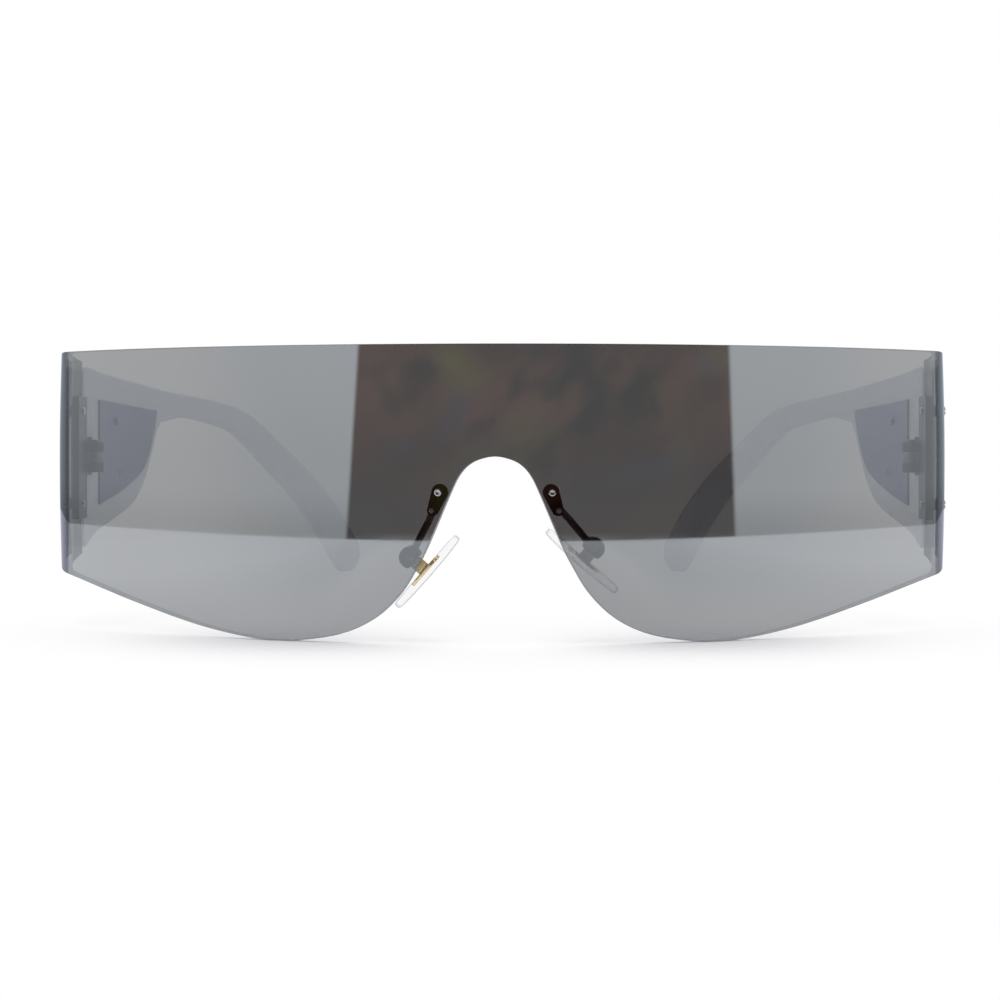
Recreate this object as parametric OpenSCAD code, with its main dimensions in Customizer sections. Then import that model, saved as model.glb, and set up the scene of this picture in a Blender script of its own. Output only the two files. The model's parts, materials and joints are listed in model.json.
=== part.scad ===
// Shield sunglasses: one mirrored lens with side wings, two folding temples and two rocking nose pads.
// Millimetres. +Z is up, the lens looks along -Y, and the lobes and ear tips stand on Z = 0.
// Inside the modules Y = 0 is the front of the lens; in_frame() centres the whole depth on Y = 0.

/* [Lens] */
// Radius of the lens's outer face, seen from above
lens_r = 100; // [92:1:120]
// Thickness of the lens
lens_t = 1.8; // [1.6:0.1:2]
// Height of the lens from its lobes to its straight top
lens_h = 45.3; // [43:0.1:48]
// Half width of the main curve, up to the bend of the wing
main_half_w = 71.5; // [69:0.1:74]
// Height of the wing at each end of the lens
wing_h = 36.2; // [35:0.2:38]
// Outer radius of the bend between the main curve and the wing
bend_r = 10; // [8:0.5:12]
// Length of the flat wing behind the bend
wing_l = 6; // [5.6:0.1:7]
// Height of the nose notch above the lobes
notch_h = 28.3; // [26:0.1:30]
// Distance of each lobe's lowest point from the middle
lobe_x = 32; // [30:0.5:34]

/* [Hinge] */
// Height of the hinge's middle
hinge_z = 27.6; // [26:0.1:29]
// Diameter of the hinge barrel
barrel_d = 3.2; // [3:0.1:3.4]
// Height of the whole barrel
barrel_h = 5.2; // [4.8:0.1:6]
// Diameter of the hinge screw
hinge_screw_d = 1.2; // [1:0.1:1.3]
// Height of the metal endpiece inside the wing
endpiece_h = 20.8; // [19:0.2:23]
// Thickness of the metal endpiece
endpiece_t = 1.2; // [1:0.1:1.4]
// Distance between the two screws of one wing
wing_screw_pitch = 15.8; // [15:0.1:16.4]
// Diameter of a wing screw's shank
wing_screw_d = 1.4; // [1.2:0.1:1.6]
// Diameter of a wing screw's domed head
wing_head_d = 2.6; // [2.4:0.1:3]

/* [Temples] */
// Distance from a temple's front edge back to the end of its ear tip
temple_reach = 118.4; // [112:0.4:126]
// Thickness of a temple
temple_t = 2.3; // [2.2:0.1:2.6]
// Height of a temple's top edge at its front
temple_top_z = 43.6; // [42:0.1:45]
// Height of the tall front of a temple
blade_h = 32.7; // [30:0.1:35]
// Length of the tall front of a temple
blade_l = 35; // [34:0.5:40]
// Height of the thin arm
arm_h = 4.5; // [4:0.1:5.5]
// Width of the ear tip
tip_w = 8.3; // [7:0.1:9.5]
// Radius of a temple's inward curve, seen from above
temple_r = 450; // [400:10:600]
// Angle at which a temple starts to run inwards
toe_in = 9.5; // [8:0.1:11]

/* [Leaf plates] */
// Length of the metal leaf plate let into a temple
leaf_l = 25; // [24:0.1:27]
// Height of the leaf plate at its front edge
leaf_h = 18.4; // [17:0.1:19]
// Thickness of the leaf plate
leaf_t = 1.1; // [1:0.05:1.3]
// Depth to which the leaf plate is let into the temple
leaf_sunk = 0.8; // [0.6:0.05:0.9]
// Diameter of the rivets that hold the leaf plate
rivet_d = 1.4; // [1.2:0.1:1.8]

/* [Nose pads] */
// Distance of a pad mount's screw from the middle
mount_x = 8.6; // [8.4:0.1:9.4]
// Height of a pad mount's screw
mount_z = 22.9; // [22.4:0.1:23.4]
// Diameter of the round head of a mount plate
mount_d = 2.5; // [2.3:0.1:2.8]
// Thickness of a mount plate
mount_t = 1; // [0.8:0.1:1.2]
// Diameter of a pad arm's wire
wire_d = 1.1; // [1:0.05:1.3]
// Diameter of the round holder at the end of a pad arm
holder_d = 3.4; // [3.2:0.1:3.8]
// Length of a nose pad
pad_l = 14.4; // [13:0.2:15.6]
// Width of a nose pad, front to back
pad_w = 7.6; // [7:0.2:9]
// Thickness of a nose pad
pad_t = 1.5; // [1.4:0.1:2.2]
// Distance of the pads' middle behind the lens front
pad_depth = 9.6; // [9.2:0.1:11]

/* [Hidden] */

// Sides: the right of the wearer's view of the picture is +X
RIGHT = 1;
LEFT = -1;

// Clearances and cuts
overrun = 1; // how far a cutting shape runs past what it cuts
running = 0.04; // radial clearance of a pin in the bore that turns on it
snug = 0.02; // clearance of a fixed piece in its seat
knuckle_gap = 0.1; // between hinge knuckles, and beside a pad's lug
fold_gap = 0.4; // between the lens wing and the temple behind it
swing_gap = 0.45; // round the barrel in the temple's notch

// Where the lens's curves run into each other
lens_lap = 0.05;

// Small sizes of the metal pieces
head_rise = 0.7; // height of a wing screw's dome
bush_flange_d = 3; // clear bush under a wing screw's head
bush_flange_t = 0.25;
bush_wall = 0.25;
screw_tail = 0.3; // how far a wing screw's end stands inside its endpiece
slot_w = 0.35; // screwdriver slots
slot_deep = 0.3;
hinge_head_d = 2.2;
hinge_head_h = 0.45;
barrel_inset = 2; // the hinge axis lies this far inside the wing's inner face
barrel_back = 2.2; // and this far behind the wing's rear edge
web_t = 1.2; // thickness of the webs that carry the knuckles
skin_t = 0.9; // plastic left outside the barrel's notch
leaf_setback = 6.4; // from the temple's front edge to the leaf plate
leaf_top_drop = 6; // from the temple's top edge line to the plate's top front corner
rivet_l = 1.8;
rivet_places_shares = [[0.3, 0.8], [0.36, 0.3]]; // of leaf_l back and leaf_h up

// Small sizes of the nose pad mounts
mount_screw_d = 1.1;
mount_head_d = 1.9;
mount_head_h = 0.5;
mount_end_rise = 0.12; // the screw's end stands this proud of the lens front
mount_dimple_d = 0.55;
mount_dimple_deep = 0.3;
mount_pin_d = 0.9;
mount_pin_dx = 1.05; // from the mount screw to the pin, outwards
mount_pin_dz = -2.75; // and down
mount_tail_d = 1.75; // the plate's narrow end, round the pin
pin_short = 0.2; // the pin ends this far inside the lens front
seat_gap = 0.03; // a flat plate on the lens's hollow face
fork_wall = 0.6;
lug_w = 2.2; // the pad insert's lug, along the pad screw
lug_d = 2.1;
pad_screw_d = 1;
pad_head_d = 1.8;
pad_head_h = 0.4;
fork_reach = 0.95; // the holder's walls end this far towards the pad
lug_gap = 0.15; // between the lug's round end and the holder's web
insert_l = 6.2;
insert_w = 4.2;
insert_t = 0.6;
pad_crown_r = 45; // radius of the pad's rounded face

// Places of each pad holder, right and left, set apart by the hand-bent wires
holder_x_right = 15;
holder_x_left = 13.3;
holder_z_right = 14.1;
holder_z_left = 12.65;
pad_tilt_right = 49;
pad_tilt_left = 41;
pad_set_off_right = 2.8; // from the pad screw to the pad's mid-plane
pad_set_off_left = 3.55;
wire_elbow_share = 0.3; // of the way from the plate to the holder
wire_out_right = 0.5; // from the mount pin outwards to the start of the wire
wire_out_left = 0;
wire_past_screw = 0.1; // between the pad screw and the end of the wire

// Places worked out from the sizes above
bend_angle = asin(main_half_w / lens_r);
main_sag = lens_r - sqrt(lens_r * lens_r - main_half_w * main_half_w);
wing_out_x = main_half_w + bend_r * (1 - sin(bend_angle));
wing_in_x = wing_out_x - lens_t;
wing_y0 = main_sag + bend_r * cos(bend_angle);
wing_y1 = wing_y0 + wing_l;
wing_screw_y = wing_y0 + wing_l / 2;
wing_z0 = lens_h - wing_h;
temple_y = wing_y1 + fold_gap;
temple_in_x = wing_out_x - temple_t;
depth = temple_y + temple_reach;
hinge_x = wing_in_x - barrel_inset - snug;
hinge_y = wing_y1 + barrel_back;
knuckle_h = (barrel_h - 2 * knuckle_gap) / 3;
barrel_z0 = hinge_z - barrel_h / 2;
temple_cx = temple_in_x - temple_r * cos(toe_in);
temple_cy = temple_y - temple_r * sin(toe_in);

// Shape tables. The lens's lower edge, as shares of lobe_x and notch_h
notch_shares = [[0, 1], [0.07, 0.985], [0.125, 0.953], [0.17, 0.895], [0.212, 0.799], [0.31, 0.542],
    [0.362, 0.425], [0.45, 0.266], [0.58, 0.129], [0.75, 0.043], [1, 0]];
// From the lobe out to the wing, as shares of that distance and of wing_z0
outer_shares = [[0.095, 0.012], [0.17, 0.052], [0.248, 0.11], [0.347, 0.202], [0.449, 0.319],
    [0.551, 0.448], [0.661, 0.588], [0.772, 0.733], [0.89, 0.879], [1, 1]];
// The blade's top edge, as shares of blade_l back and of blade_h down
blade_top_shares = [[0, 0], [0.229, 0.031], [0.6, 0.07], [0.85, 0.094], [1, 0.118]];
// The blade's lower edge from its rear corner to the front
blade_low_shares = [[1.1, 0.275], [1, 0.29], [0.925, 0.355], [0.85, 0.5], [0.75, 0.655], [0.61, 0.765],
    [0.371, 0.84], [0.2, 0.885], [0.043, 0.955], [0, 1]];
// The arm's middle line as shares of temple_reach and temple_top_z, and its width between arm_h and tip_w
arm_shares = [[0.26, 0.858, 0.35], [0.32, 0.854, 0.2], [0.4, 0.847, 0], [0.494, 0.821, 0.03],
    [0.57, 0.787, 0.12], [0.638, 0.716, 0.3], [0.714, 0.607, 0.5], [0.786, 0.5, 0.6], [0.85, 0.385, 0.8],
    [0.908, 0.255, 0.96]];
// The leaf plate's rear and lower edge, as shares of leaf_l back and leaf_h up
leaf_shares = [[1, 0.91], [0.975, 0.78], [0.9, 0.56], [0.83, 0.41], [0.73, 0.29], [0.5, 0.165], [0.25, 0.07]];

// Steps of the round shapes
edge_steps = 4;
dome_steps = 6;
round_fn = 48;
lens_fn = 720;
temple_fn = 2880;

// A smooth curve through points, and its helpers
function blend4(a, b, c, d, t) = 0.5 * ((2 * b) + (c - a) * t + (2 * a - 5 * b + 4 * c - d) * t * t
    + (3 * b - a - 3 * c + d) * t * t * t);
function before(p, i) = i > 0 ? p[i - 1] : 2 * p[0] - p[1];
function after(p, i) = i < len(p) ? p[i] : 2 * p[len(p) - 1] - p[len(p) - 2];
function smooth(p, n) = [for (i = [0 : len(p) - 2]) for (k = [0 : n - 1])
    blend4(before(p, i), p[i], p[i + 1], after(p, i + 2), k / n), p[len(p) - 1]];
function backwards(p) = [for (i = [len(p) - 1 : -1 : 0]) p[i]];
function unit(v) = v / norm(v);

module in_frame() {
    translate([0, -depth / 2, 0]) children();
}

// Children drawn for the right side come out on the side that s names
module on_side(s) {
    if (s == LEFT) mirror([1, 0, 0]) children();
    else children();
}

// A round bar along X, or along Y
module bar_x(d, x0, x1) {
    translate([x0, 0, 0]) rotate([0, 90, 0]) cylinder(d = d, h = x1 - x0, $fn = round_fn);
}

module bar_y(d, y0, y1) {
    translate([0, y1, 0]) rotate([90, 0, 0]) cylinder(d = d, h = y1 - y0, $fn = round_fn);
}

// A straight wire from a to b with ball ends
module wire(a, b, d) {
    v = b - a;
    translate(a) rotate([0, acos(v[2] / norm(v)), atan2(v[1], v[0])])
        cylinder(d = d, h = norm(v), $fn = round_fn);
    translate(a) sphere(d = d, $fn = round_fn);
    translate(b) sphere(d = d, $fn = round_fn);
}

// Part of a standing tube between two angles, from its outer radius inwards
module tube_sector(r, t, a0, a1, z0, z1, fn) {
    am = (a0 + a1) / 2;
    far = 2 * r;
    intersection() {
        translate([0, 0, z0]) difference() {
            cylinder(r = r, h = z1 - z0, $fn = fn);
            translate([0, 0, -overrun]) cylinder(r = r - t, h = z1 - z0 + 2 * overrun, $fn = fn);
        }
        translate([0, 0, z0 - overrun]) linear_extrude(z1 - z0 + 2 * overrun)
            polygon([[0, 0], far * [cos(a0), sin(a0)], far * [cos(am), sin(am)], far * [cos(a1), sin(a1)]]);
    }
}

// The lens seen from the front
function lens_low_half() = concat(
    [for (p = notch_shares) [p[0] * lobe_x, p[1] * notch_h]],
    [for (p = outer_shares) [lobe_x + p[0] * (wing_out_x - lobe_x), p[1] * wing_z0]]);
function lens_low() = let (half = lens_low_half())
    concat([for (p = backwards(half)) if (p[0] > 0) [-p[0], p[1]]], half);

module lens_outline() {
    low = smooth(lens_low(), edge_steps);
    far = wing_out_x + overrun;
    polygon(concat([[-far, wing_z0]], low, [[far, wing_z0], [far, lens_h], [-far, lens_h]]));
}

// Moves children to a place on the lens's outer face, where local +Y goes into the lens
module at_lens(x, z) {
    translate([0, lens_r, z]) rotate([0, 0, asin(x / lens_r)]) translate([0, -lens_r, 0]) children();
}

module at_wing_screws() {
    for (dz = [-1, 1]) translate([0, wing_screw_y, hinge_z + dz * wing_screw_pitch / 2]) children();
}

module lens_sheet() {
    translate([0, lens_r, 0])
        tube_sector(lens_r, lens_t, -90 - bend_angle, -90 + bend_angle, 0, lens_h, lens_fn);
    lap_angle = 360 * lens_lap / (2 * PI * bend_r);
    for (s = [LEFT, RIGHT]) on_side(s) {
        translate([wing_out_x - bend_r, wing_y0, 0])
            tube_sector(bend_r, lens_t, -90 + bend_angle - lap_angle, 0, 0, lens_h, lens_fn);
        translate([wing_in_x, wing_y0 - lens_lap, 0]) cube([lens_t, wing_l + lens_lap, lens_h]);
    }
}

module lens() {
    color("slategray") difference() {
        intersection() {
            lens_sheet();
            translate([0, wing_y1 + overrun, 0]) rotate([90, 0, 0])
                linear_extrude(wing_y1 + 2 * overrun) lens_outline();
        }
        for (s = [LEFT, RIGHT]) on_side(s) {
            at_wing_screws() bar_x(bush_hole_d(), wing_in_x - overrun, wing_out_x + overrun);
            at_lens(mount_x, mount_z) {
                bar_y(mount_screw_d + snug, -overrun, lens_t + overrun);
                translate([mount_pin_dx, 0, mount_pin_dz])
                    bar_y(mount_pin_d + snug, -overrun, lens_t + overrun);
            }
        }
    }
}

function bush_hole_d() = wing_screw_d + 2 * (bush_wall + snug);

// A clear bush in each screw hole of a wing, with a flange outside
module wing_bushes(s) {
    color("whitesmoke") on_side(s) at_wing_screws() difference() {
        union() {
            bar_x(wing_screw_d + 2 * bush_wall, wing_in_x, wing_out_x + bush_flange_t / 2);
            bar_x(bush_flange_d, wing_out_x, wing_out_x + bush_flange_t);
        }
        bar_x(wing_screw_d + snug, wing_in_x - overrun, wing_out_x + overrun);
    }
}

// A domed head: the cap of a ball, turned from its profile
module dome_x(d, rise, x) {
    ball_r = (d * d / 4 + rise * rise) / (2 * rise);
    rim = asin(d / 2 / ball_r);
    translate([x, 0, 0]) rotate([0, 90, 0]) rotate_extrude($fn = round_fn)
        polygon(concat([[0, 0]], [for (k = [0 : dome_steps]) let (a = rim * (1 - k / dome_steps))
            [ball_r * sin(a), ball_r * cos(a) - ball_r + rise]]));
}

module wing_screws(s) {
    head_x = wing_out_x + bush_flange_t;
    color("silver") on_side(s) at_wing_screws() difference() {
        union() {
            bar_x(wing_screw_d, wing_in_x - endpiece_t - snug - screw_tail, head_x + head_rise / 2);
            dome_x(wing_head_d, head_rise, head_x);
        }
        translate([head_x + head_rise - slot_deep, -wing_head_d / 2, -slot_w / 2])
            cube([slot_deep + overrun, wing_head_d, slot_w]);
    }
}

// A knuckle of the hinge, counted from the bottom
module knuckle(i) {
    translate([hinge_x, hinge_y, barrel_z0 + i * (knuckle_h + knuckle_gap)])
        cylinder(d = barrel_d, h = knuckle_h, $fn = round_fn);
}

module knuckle_bore(i, gap) {
    translate([hinge_x, hinge_y, barrel_z0 + i * (knuckle_h + knuckle_gap) - overrun / 2])
        cylinder(d = hinge_screw_d + 2 * gap, h = knuckle_h + overrun, $fn = round_fn);
}

// The metal plate inside a wing, with the upper and lower knuckles
module endpiece(s) {
    out_x = wing_in_x - snug;
    color("dimgray") on_side(s) difference() {
        union() {
            translate([out_x - endpiece_t, wing_y0, hinge_z - endpiece_h / 2])
                cube([endpiece_t, wing_l, endpiece_h]);
            for (i = [0, 2]) {
                knuckle(i);
                translate([out_x - endpiece_t, wing_y1 - web_t, barrel_z0 + i * (knuckle_h + knuckle_gap)])
                    cube([web_t, hinge_y - wing_y1 + web_t, knuckle_h]);
            }
        }
        for (i = [0, 2]) knuckle_bore(i, snug / 2);
        at_wing_screws() bar_x(wing_screw_d + snug, out_x - endpiece_t - overrun, out_x + overrun);
    }
}

module hinge_screw(s) {
    top = barrel_z0 + barrel_h;
    color("silver") on_side(s) translate([hinge_x, hinge_y, 0]) difference() {
        union() {
            translate([0, 0, barrel_z0]) cylinder(d = hinge_screw_d, h = barrel_h + hinge_head_h / 2,
                $fn = round_fn);
            translate([0, 0, top]) cylinder(d = hinge_head_d, h = hinge_head_h, $fn = round_fn);
        }
        translate([-hinge_head_d / 2, -slot_w / 2, top + hinge_head_h - slot_deep])
            cube([hinge_head_d, slot_w, slot_deep + overrun]);
    }
}

// A temple's curved slab between two depths measured outwards from its inner face
module temple_slab(in, out) {
    angle = asin((temple_reach + temple_y - temple_cy) / temple_r);
    translate([temple_cx, temple_cy, 0])
        tube_sector(temple_r + out, out - in, toe_in - 2, angle + 2, 0, lens_h, temple_fn);
}

// Cuts a side view, drawn in (Y, Z), out of a slab
module side_view() {
    rotate([90, 0, 90]) linear_extrude(wing_out_x + overrun) children();
}

function arm_line() = smooth(concat(
    [for (p = arm_shares) [p[0] * temple_reach, p[1] * temple_top_z, arm_h + p[2] * (tip_w - arm_h)]],
    [[temple_reach - tip_w / 2, tip_w / 2, tip_w]]), edge_steps);
function flat2(p) = [p[0], p[1]];
function heading(p, i) = unit(flat2(p[min(i + 1, len(p) - 1)]) - flat2(p[max(i - 1, 0)]));
function arm_edge(p, up) = [for (i = [0 : len(p) - 1])
    flat2(p[i]) + up * p[i][2] / 2 * [-heading(p, i)[1], heading(p, i)[0]]];

module temple_outline() {
    line = arm_line();
    last = line[len(line) - 1];
    turn = atan2(heading(line, len(line) - 1)[1], heading(line, len(line) - 1)[0]);
    cap = [for (a = [75 : -15 : -75]) flat2(last) + last[2] / 2 * [cos(turn + a), sin(turn + a)]];
    blade_top = [for (p = blade_top_shares) [p[0] * blade_l, temple_top_z - p[1] * blade_h]];
    blade_low = [for (p = blade_low_shares) [p[0] * blade_l, temple_top_z - p[1] * blade_h]];
    translate([temple_y, 0]) {
        polygon(concat(arm_edge(line, 1), cap, backwards(arm_edge(line, -1))));
        polygon(concat(smooth(blade_top, edge_steps), smooth(blade_low, edge_steps)));
    }
}

// The leaf plate seen from the side, grown all round by a gap
module leaf_outline(gap) {
    y0 = temple_y + leaf_setback;
    z0 = leaf_z0();
    rear = smooth([for (p = leaf_shares) [p[0] * leaf_l, p[1] * leaf_h]], edge_steps);
    grow_y = (leaf_l + 2 * gap) / leaf_l;
    grow_z = (leaf_h + 2 * gap) / leaf_h;
    translate([y0 - gap, z0 - gap]) polygon([for (p = concat([[0, 0], [0, leaf_h]], rear))
        [p[0] * grow_y, p[1] * grow_z]]);
}

function leaf_z0() = temple_top_z - leaf_top_drop - leaf_h;
function inner_x(y) = temple_cx + sqrt(temple_r * temple_r - (y - temple_cy) * (y - temple_cy));

module temple(s) {
    notch_y = hinge_y + barrel_d / 2 + swing_gap;
    notch_h2 = barrel_h / 2 + hinge_head_h + swing_gap;
    color("white") on_side(s) difference() {
        intersection() {
            temple_slab(0, temple_t);
            side_view() temple_outline();
        }
        intersection() {
            temple_slab(-overrun, leaf_sunk);
            side_view() leaf_outline(snug);
        }
        translate([0, 0, hinge_z - notch_h2])
            cube([wing_out_x - skin_t, notch_y, 2 * notch_h2]);
        translate([0, 0, hinge_z - knuckle_h / 2 - knuckle_gap])
            cube([inner_x(notch_y) + leaf_sunk + snug, temple_y + leaf_setback + overrun,
                knuckle_h + 2 * knuckle_gap]);
        at_rivets() bar_x(rivet_d + snug, 0, inner_x(rivet_y_far()) - leaf_proud() + rivet_l);
    }
}

function leaf_proud() = leaf_t - leaf_sunk;
function rivet_y_far() = temple_y + leaf_setback + rivet_places_shares[1][0] * leaf_l;

module at_rivets() {
    for (p = rivet_places_shares)
        translate([0, temple_y + leaf_setback + p[0] * leaf_l, leaf_z0() + p[1] * leaf_h]) children();
}

// The metal plate in a temple, with the middle knuckle
module hinge_leaf(s) {
    color("lightslategray") on_side(s) difference() {
        union() {
            intersection() {
                temple_slab(-leaf_proud(), leaf_sunk);
                side_view() leaf_outline(0);
            }
            knuckle(1);
            translate([inner_x(hinge_y) - leaf_proud() - web_t / 2, hinge_y,
                barrel_z0 + knuckle_h + knuckle_gap])
                cube([web_t, temple_y + leaf_setback + web_t - hinge_y, knuckle_h]);
        }
        knuckle_bore(1, running);
        at_rivets() bar_x(rivet_d + snug, 0, wing_out_x);
    }
}

module leaf_rivets(s) {
    color("lightslategray") on_side(s) at_rivets()
        bar_x(rivet_d, inner_x(rivet_y_far()) - leaf_proud(), inner_x(rivet_y_far()) - leaf_proud() + rivet_l);
}

// Places of the pad holder of one side
function holder(s) = [s == RIGHT ? holder_x_right : holder_x_left, pad_depth,
    s == RIGHT ? holder_z_right : holder_z_left];
function pad_tilt(s) = s == RIGHT ? pad_tilt_right : pad_tilt_left;
function pad_back(s) = (s == RIGHT ? pad_set_off_right : pad_set_off_left) - pad_t / 2;

// Children in the pad's own frame: local -X goes to the pad, local Z runs along it
module at_pad(s) {
    translate(holder(s)) rotate([0, -pad_tilt(s), 0]) children();
}

function lens_point(x, z, inward) = [(lens_r - inward) * x / lens_r,
    lens_r - (lens_r - inward) * cos(asin(x / lens_r)), z];

// The plate behind the lens, the bent wire and the forked holder
module pad_arm(s) {
    y0 = lens_t + seat_gap;
    tail = [mount_pin_dx, mount_pin_dz];
    side = unit([-tail[1], tail[0]]);
    wire_out = s == RIGHT ? wire_out_right : wire_out_left;
    root = lens_point(mount_x + mount_pin_dx + wire_out, mount_z + mount_pin_dz, y0 + mount_t / 2);
    up = unit([root[0] - holder(s)[0], 0, root[2] - holder(s)[2]]);
    to = holder(s) - [0, lug_w / 2 + knuckle_gap + wire_d / 2, 0]
        + (pad_screw_d / 2 + wire_past_screw + wire_d / 2) * up;
    way = root + wire_elbow_share * (to - root);
    elbow = [way[0], to[1], way[2]];
    color("#1c1a19") on_side(s) {
        difference() {
            union() {
                at_lens(mount_x, mount_z) {
                    bar_y(mount_d, y0, y0 + mount_t);
                    translate([tail[0], 0, tail[1]]) bar_y(mount_tail_d, y0, y0 + mount_t);
                    translate([0, y0 + mount_t, 0]) rotate([90, 0, 0]) linear_extrude(mount_t)
                        polygon([side * mount_d / 2, -side * mount_d / 2,
                            tail - side * mount_tail_d / 2, tail + side * mount_tail_d / 2]);
                }
                wire(root, elbow, wire_d);
                wire(elbow, to, wire_d);
            }
            at_lens(mount_x, mount_z) {
                bar_y(mount_screw_d + snug, y0 - overrun, y0 + mount_t + overrun);
                translate([tail[0], 0, tail[1]]) bar_y(mount_pin_d + snug, y0 - overrun, y0 + mount_t);
            }
        }
        fork(s);
    }
}

module fork(s) {
    web_x = lug_d / 2 + lug_gap;
    wall_y = lug_w / 2 + knuckle_gap;
    at_pad(s) difference() {
        intersection() {
            bar_y(holder_d, -wall_y - fork_wall, wall_y + fork_wall);
            translate([-fork_reach, -holder_d, -holder_d]) cube(2 * holder_d);
        }
        translate([web_x - 2 * holder_d, -wall_y, -holder_d]) cube([2 * holder_d, 2 * wall_y, 2 * holder_d]);
        bar_y(pad_screw_d + snug, -holder_d, holder_d);
    }
}

module mount_screw(s) {
    back = lens_t + seat_gap + mount_t;
    color("silver") on_side(s) at_lens(mount_x, mount_z) difference() {
        union() {
            bar_y(mount_screw_d, -mount_end_rise, back + mount_head_h / 2);
            bar_y(mount_head_d, back, back + mount_head_h);
        }
        bar_y(mount_dimple_d, -mount_end_rise - overrun, mount_dimple_deep - mount_end_rise);
        translate([-slot_w / 2, back + mount_head_h - slot_deep, -mount_head_d / 2])
            cube([slot_w, slot_deep + overrun, mount_head_d]);
    }
}

module mount_pin(s) {
    color("black") on_side(s) at_lens(mount_x, mount_z) translate([mount_pin_dx, 0, mount_pin_dz])
        bar_y(mount_pin_d, pin_short, lens_t + seat_gap + mount_t / 2);
}

module pad_screw(s) {
    wall_y = lug_w / 2 + knuckle_gap + fork_wall;
    color("silver") on_side(s) at_pad(s) difference() {
        union() {
            bar_y(pad_screw_d, -wall_y, wall_y + pad_head_h / 2);
            bar_y(pad_head_d, wall_y, wall_y + pad_head_h);
        }
        translate([-pad_head_d / 2, wall_y + pad_head_h - slot_deep, -slot_w / 2])
            cube([pad_head_d, slot_deep + overrun, slot_w]);
    }
}

// A flat piece with round ends: l along Z, w along Y, between two places on X
module stadium(l, w, x0, x1) {
    for (dz = [-1, 1]) translate([0, 0, dz * (l - w) / 2]) bar_x(w, x0, x1);
    translate([x0, -w / 2, -(l - w) / 2]) cube([x1 - x0, w, l - w]);
}

// The gold plate inside a pad with the lug that turns on the pad screw
module pad_insert(s) {
    color("goldenrod") on_side(s) at_pad(s) difference() {
        union() {
            stadium(insert_l, insert_w, -pad_back(s) - insert_t, -pad_back(s));
            bar_y(lug_d, -lug_w / 2, lug_w / 2);
            translate([-pad_back(s) - insert_t / 2, -lug_w / 2, -lug_d / 2])
                cube([pad_back(s) + insert_t / 2, lug_w, lug_d]);
        }
        bar_y(pad_screw_d + 2 * running, -lug_w, lug_w);
    }
}

// The clear pad: flat towards its insert and rounded towards the nose
module nose_pad(s) {
    face = -pad_back(s) - pad_t;
    color("aliceblue") on_side(s) at_pad(s) difference() {
        intersection() {
            stadium(pad_l, pad_w, face, -pad_back(s));
            translate([face + pad_crown_r, 0, 0]) sphere(r = pad_crown_r, $fn = 4 * round_fn);
        }
        stadium(insert_l + snug, insert_w + snug, -pad_back(s) - insert_t, -pad_back(s) + overrun);
    }
}

in_frame() lens();
in_frame() endpiece(LEFT);  // left_endpiece
in_frame() endpiece(RIGHT);  // right_endpiece
in_frame() wing_screws(LEFT);  // left_wing_screws
in_frame() wing_screws(RIGHT);  // right_wing_screws
in_frame() wing_bushes(LEFT);  // left_wing_bushes
in_frame() wing_bushes(RIGHT);  // right_wing_bushes
in_frame() hinge_screw(LEFT);  // left_hinge_screw
in_frame() hinge_screw(RIGHT);  // right_hinge_screw
in_frame() temple(LEFT);  // left_temple
in_frame() temple(RIGHT);  // right_temple
in_frame() hinge_leaf(LEFT);  // left_hinge_leaf
in_frame() hinge_leaf(RIGHT);  // right_hinge_leaf
in_frame() leaf_rivets(LEFT);  // left_leaf_rivets
in_frame() leaf_rivets(RIGHT);  // right_leaf_rivets
in_frame() pad_arm(LEFT);  // left_pad_arm
in_frame() pad_arm(RIGHT);  // right_pad_arm
in_frame() mount_screw(LEFT);  // left_mount_screw
in_frame() mount_screw(RIGHT);  // right_mount_screw
in_frame() mount_pin(LEFT);  // left_mount_pin
in_frame() mount_pin(RIGHT);  // right_mount_pin
in_frame() pad_insert(LEFT);  // left_pad_insert
in_frame() pad_insert(RIGHT);  // right_pad_insert
in_frame() nose_pad(LEFT);  // left_nose_pad
in_frame() nose_pad(RIGHT);  // right_nose_pad
in_frame() pad_screw(LEFT);  // left_pad_screw
in_frame() pad_screw(RIGHT);  // right_pad_screw
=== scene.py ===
"""Shield sunglasses, dressed: a mirrored one-piece lens, white temples, screw hinges and clear nose pads.

Metres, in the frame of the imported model: the lens looks along -Y and the glasses stand on Z = 0.
"""

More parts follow.
